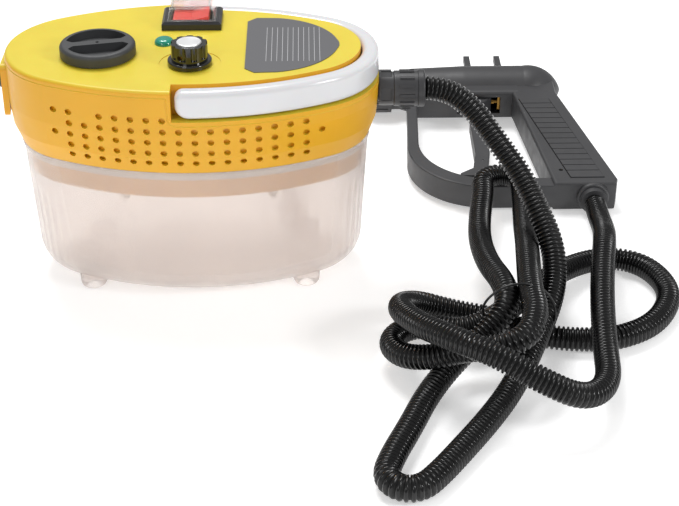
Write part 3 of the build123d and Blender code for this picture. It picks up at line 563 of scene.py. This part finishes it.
def routeLine(name, route):
    # places along a smooth NURBS curve of order 3, where each stretch is a blend of three of the
    # route's points; places that fall on the one before are left out
    curve = bpy.data.curves.new(name, "CURVE")
    curve.dimensions = "3D"
    spline = curve.splines.new("NURBS")
    spline.points.add(len(route) - 1)
    spline.points.foreach_set("co", [c for p in route for c in (p[0] * mm, p[1] * mm, p[2] * mm, 1.0)])
    spline.order_u = curveSet["order"]
    spline.use_endpoint_u = True
    curve.resolution_u = curveSet["fineness"]
    holder = bpy.data.objects.new(name, curve)
    bpy.context.scene.collection.objects.link(holder)
    bpy.context.view_layer.update()
    mesh = bpy.data.meshes.new_from_object(holder)
    line = np.zeros(len(mesh.vertices) * 3)
    mesh.vertices.foreach_get("co", line)
    bpy.data.objects.remove(holder)
    bpy.data.meshes.remove(mesh)
    line = line.reshape(-1, 3)
    return line[np.r_[True, np.linalg.norm(np.diff(line, axis=0), axis=1) > curveSet["apart"]]]


def along(line, stations):
    # places at the given distances along a line
    steps = np.r_[0, np.cumsum(np.linalg.norm(np.diff(line, axis=0), axis=1))]
    return np.stack([np.interp(stations, steps, line[:, k]) for k in range(3)], axis=1)


def lineLength(line):
    # the sum of the steps from place to place
    return float(np.linalg.norm(np.diff(line, axis=0), axis=1).sum())


def makeHose(material):
    # one pitch is valley, shoulder, crest, shoulder, valley, valley at the given shares of the pitch, each
    # a ring of its own radius; one narrow slit runs the whole way at one angle, where the radius is
    # multiplied by the slit's share
    line = routeLine("hoseLine", hoseRoute)
    total = lineLength(line)
    pitch = hose["pitch"] * mm
    ridges = int((total - 2 * hose["plainEnd"] * mm) / pitch)
    start = np.arange(ridges)[:, None] * pitch + hose["plainEnd"] * mm
    stations = np.r_[0, (start + np.array(hose["stations"]) * pitch).ravel(), total]
    crest = hose["diameter"] / 2 * mm
    valley = crest - hose["valley"] * mm
    shoulder = crest - hose["shoulder"] * mm
    radii = np.r_[valley, np.tile([valley, shoulder, crest, shoulder, valley, valley], ridges), valley]
    half = hose["slitHalf"]
    rest = np.linspace(half, 2 * math.pi - half, hose["around"] + 1)[1:-1]
    angles = hose["slitAt"] + np.r_[-half, 0, half, rest]
    depth = np.ones(len(angles))
    depth[1] = hose["slitShare"]
    points = tubePoints(along(line, stations), radii[:, None] * depth[None, :], angles)
    mesh = gridMesh("steamHose", points)
    crestShare = np.broadcast_to((radii[:, None] - valley) / (crest - valley), points.shape[:2]).ravel()
    mark = mesh.attributes.new("crest", "FLOAT", "POINT")
    mark.data.foreach_set("value", np.r_[crestShare, 0.0, 0.0])
    piece = newPiece("steamHose", mesh, "base", material)
    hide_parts("steam_hose")
    print("hose:", round(total, 3), "m,", ridges, "corrugations")


tieWire = {"radius": 0.8, "rows": 240, "around": 8}
tieRoute = [(184, -134, 28), (179, -132, 36), (180, -130, 46), (194, -128, 57), (214, -126, 55),
            (226, -123, 38), (226, -122, 21), (216, -124, 14.5), (200, -130, 19), (188, -136, 25),
            (179, -139, 31), (173, -143, 31)]


def makeTie(material):
    # thin coated wire once round the bundle, its end turned out as a short tail: a ring of one radius
    # round every place of its route
    line = routeLine("tieLine", tieRoute)
    places = along(line, np.linspace(0, lineLength(line), tieWire["rows"]))
    radii = np.full((tieWire["rows"], tieWire["around"]), tieWire["radius"] * mm)
    points = tubePoints(places, radii, fullTurn(tieWire["around"]))
    piece = newPiece("hoseTie", gridMesh("hoseTie", points), "base", material)
    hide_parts("hose_tie")
    return piece


unit = {"endRadius": 55.5, "planSteps": 4001}


def ovalPlan(angle, grow):
    # arc centre + (arc radius + grow) x (cos angle, sin angle), where the angle is the way the edge faces:
    # two end arcs with centres left and right of the middle, and between them two long arcs that touch
    # them, with centres on the far side of the middle; angle and grow may be arrays
    low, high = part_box("side_housing")
    reach = (high.x - low.x) / 2 / mm - unit["endRadius"]
    half = (high.y - low.y) / 2 / mm
    side = (reach**2 + half**2 - unit["endRadius"]**2) / (2 * (half - unit["endRadius"]))
    drop = side - half
    turn = math.atan2(drop, reach)
    c, s = np.cos(angle), np.sin(angle)
    ends = np.abs(s) < math.sin(turn)
    radius = np.where(ends, unit["endRadius"], side) + grow
    x = np.where(ends, np.sign(c) * reach, 0.0) + radius * c
    y = np.where(ends, 0.0, -np.sign(s) * drop) + radius * s
    return x, y


def ovalAngles(count):
    # directions that fall at even steps along the outline's length, and that length
    fine = np.linspace(0, 2 * math.pi, unit["planSteps"])
    x, y = ovalPlan(fine, 0.0)
    steps = np.r_[0, np.cumsum(np.hypot(np.diff(x), np.diff(y)))]
    return np.interp(np.linspace(0, steps[-1], count + 1)[:-1], steps, fine), steps[-1]


tank = {"rimTop": 102.0, "ledge": 4.5, "ledgeRise": 0.6, "lip": 0.8, "inset": 6.5, "taper": 5.5,
        "floor": 4.6, "edge": 22.0, "wall": 2.5, "flute": 0.55, "fluteStep": 8.6, "fluteFrom": 72.0,
        "fluteFade": 14.0, "rib": 1.3, "ribAt": (-44.0, 50.0), "ribWidth": 3.4, "topGap": 24.0,
        "topFade": 12.0, "footGap": 4.0, "footFade": 16.0, "floorMiddle": 0.04, "columns": 360,
        "wallRows": 26, "edgeRows": 13, "floorRows": 8}


def tankProfile(inset, floor, edge, lip):
    # wall: minus (inset + taper x share of the way down), plus the lip at the rim; bottom edge: a quarter
    # round, edge x (1 - cos) further in and edge x (1 - sin) above the floor
    top = tank["rimTop"]
    z = top - (top - floor - edge) * np.linspace(0, 1, tank["wallRows"])
    ledge = np.clip((z - (top - tank["ledge"])) / tank["ledgeRise"], 0, 1) * lip
    grow = ledge - (inset + tank["taper"] * (top - z) / (top - floor))
    turn = np.linspace(0, math.pi / 2, tank["edgeRows"] + 1)[1:]
    grow = np.r_[grow, grow[-1] - edge * (1 - np.cos(turn))]
    z = np.r_[z, floor + edge * (1 - np.sin(turn))]
    return grow, z


def makeTank(material):
    # two walls, each the oval plan grown by the profile plus a relief that fades out towards rim and floor:
    # outside, upright flutes of depth x (half + half the cosine of the distance round the plan) at both
    # ends; inside, two bell-shaped ribs, e to the minus ((x - place) / width) squared, on each long side;
    # the floor is the last ring drawn in towards the middle
    angles, around = ovalAngles(tank["columns"])
    x0 = ovalPlan(angles, 0.0)[0]
    distance = np.arange(len(angles)) * around / len(angles)
    atEnds = np.clip((np.abs(x0) - tank["fluteFrom"]) / tank["fluteFade"], 0, 1)
    flutes = -tank["flute"] * atEnds * (0.5 + 0.5 * np.cos(2 * math.pi * distance / tank["fluteStep"]))
    ribs = -tank["rib"] * sum(np.exp(-((x0 - place) / tank["ribWidth"])**2) for place in tank["ribAt"])
    inward = np.linspace(1, tank["floorMiddle"], tank["floorRows"] + 1)[1:]
    shrink = np.stack([inward, inward, np.ones(len(inward))], axis=-1)[:, None]
    walls = []
    for thick, lip, relief in ((tank["wall"], 0.0, ribs), (0.0, tank["lip"], flutes)):
        floor = tank["floor"] + thick
        grow, z = tankProfile(tank["inset"] + thick, floor, tank["edge"] - thick, lip)
        below = np.clip((tank["rimTop"] - tank["topGap"] - z) / tank["topFade"], 0, 1)
        above = np.clip((z - floor - tank["footGap"]) / tank["footFade"], 0, 1)
        x, y = ovalPlan(angles[None, :], grow[:, None] + (below * above)[:, None] * relief[None, :])
        wall = np.stack([x, y, np.broadcast_to(z[:, None], x.shape)], axis=-1)
        walls.append(np.concatenate([wall, wall[-1][None] * shrink]))
    # up the inner wall and down the outer one
    points = np.concatenate([walls[0][::-1], walls[1]]) * mm
    piece = newPiece("tankShell", gridMesh("tankShell", points[:, ::-1]), "base", material)
    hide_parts("water_tank")


foot = {"x": 71.5, "y": 31.5, "around": 40,
        "profile": [(4.5, 0.0), (6.4, 0.45), (7.9, 1.6), (8.8, 3.3), (9.0, 5.2), (9.0, 9.5)]}


def makeFeet(material):
    # four short turned studs under the tank: radius x cos and radius x sin round the stud's middle, at
    # the profile's heights
    angles = fullTurn(foot["around"])
    radius, height = np.array(foot["profile"]).T[:, :, None]
    for number, (sx, sy) in enumerate(((-1, -1), (1, -1), (1, 1), (-1, 1))):
        x = sx * foot["x"] + radius * np.cos(angles)
        y = sy * foot["y"] + radius * np.sin(angles)
        points = np.stack([x, y, np.broadcast_to(height, x.shape)], axis=-1) * mm
        mesh = gridMesh(f"tankFoot{number}", points)
        newPiece(f"tankFoot{number}", mesh, "base", material)


bead = {"proud": 0.28, "radius": 0.45, "high": 155.5, "low": 136.6, "lipEnd": -12.4, "corner": 6.0,
        "planSteps": 2000, "riseSteps": 16, "rows": 1300, "around": 8}


def makeBead(material):
    # thin raised line that follows the joint between cover and housing, high at the left and low at the
    # right, front and back: its height is high left of the lip's end, then low plus a quarter round,
    # corner - root(corner squared - (corner - distance past the lip's end) squared); two upright
    # stretches join the two heights
    x, y = ovalPlan(fullTurn(bead["planSteps"]), bead["proud"] - bead["radius"])
    into = np.clip(x - bead["lipEnd"], 0, bead["corner"])
    square = np.clip(bead["corner"]**2 - (bead["corner"] - into)**2, 0, None)
    z = np.where(x < bead["lipEnd"], bead["high"], bead["low"] + bead["corner"] - np.sqrt(square))
    line = np.stack([x, y, z], axis=1)
    parts, last = [], 0
    for cut in np.where((x[:-1] < bead["lipEnd"]) != (x[1:] < bead["lipEnd"]))[0]:
        rise = np.linspace(line[cut], line[cut + 1], bead["riseSteps"])[1:-1]
        parts += [line[last:cut + 1], rise]
        last = cut + 1
    loop = np.concatenate(parts + [line[last:], line[:1]]) * mm
    places = along(loop, np.linspace(0, lineLength(loop), bead["rows"] + 1)[:-1])
    ahead = np.roll(places, -1, axis=0) - np.roll(places, 1, axis=0)
    ahead /= np.linalg.norm(ahead, axis=1)[:, None]
    out = places * (1, 1, 0)
    out -= ahead * (out * ahead).sum(axis=1)[:, None]
    out /= np.linalg.norm(out, axis=1)[:, None]
    radii = np.full((bead["rows"], bead["around"]), bead["radius"] * mm)
    points = ringPoints(places, out, np.cross(ahead, out), radii, fullTurn(bead["around"]))
    mesh = gridMesh("coverBead", np.concatenate([points, points[:1]]), capped=False)
    newPiece("coverBead", mesh, "base", material)


liner = {"reach": 92.0, "low": 107.0, "leftTop": 146.0, "rightTop": 135.2, "stepAt": -12.9, "thick": 0.9,
         "gap": 0.2, "planSteps": 2001, "columns": 160, "rows": 24,
         "wallHeights": [104.5, 114.0, 130.0, 156.0], "wallGrows": [-8.4, -4.0, -2.5, -2.5]}


def makeLiner(side, material):
    # thin inner band just behind the vents of one long side, so that each vent is a shallow pit: the oval
    # plan grown by the housing wall's inner face at each height, less the gap and then less the thickness
    angles = np.linspace(0, math.pi, liner["planSteps"])[1:-1] * side
    x = ovalPlan(angles, 0.0)[0]
    angles = angles[np.abs(x) < liner["reach"]]
    angles = angles[np.linspace(0, len(angles) - 1, liner["columns"]).astype(int)]
    x = ovalPlan(angles, 0.0)[0]
    top = np.where(x < liner["stepAt"], liner["leftTop"], liner["rightTop"])
    z = liner["low"] + (top - liner["low"])[None, :] * np.linspace(0, 1, liner["rows"])[:, None]
    wall = np.interp(z, liner["wallHeights"], liner["wallGrows"])
    faces = []
    for inward in (liner["gap"], liner["gap"] + liner["thick"]):
        px, py = ovalPlan(angles[None, :], wall - inward)
        faces.append(np.stack([px, py, z], axis=-1))
    # up the outer face and down the inner one
    points = np.transpose(np.concatenate([faces[0], faces[1][::-1]]), (1, 0, 2)) * mm
    if side < 0:
        points = points[::-1]
    name = "ventLinerFront" if side < 0 else "ventLinerBack"
    newPiece(name, gridMesh("ventLiner", points), "base", material)


def paintNodes(made):
    # every node gets its finish in all its slots, and one slot where it has none
    for finish, names in finishOf.items():
        for name in names:
            slots = nodes[name].material_slots
            if len(slots) == 0:
                nodes[name].data.materials.append(made[finish])
            for slot in slots:
                slot.material = made[finish]


makeStudio()
print("studio ready")
made = makeMaterials()
paintNodes(made)
print("materials ready:", len(made))
tiePiece = makeTie(made["wireCoating"])
makeHose(made["hosePolyethylene"])
makeTank(made["milkyPolypropylene"])
makeFeet(made["milkyPolypropylene"])
print("tank and feet ready")
makeBead(made["yellowAbs"])
for side in (-1, 1):
    makeLiner(side, made["yellowAbs"])
print("pieces ready")
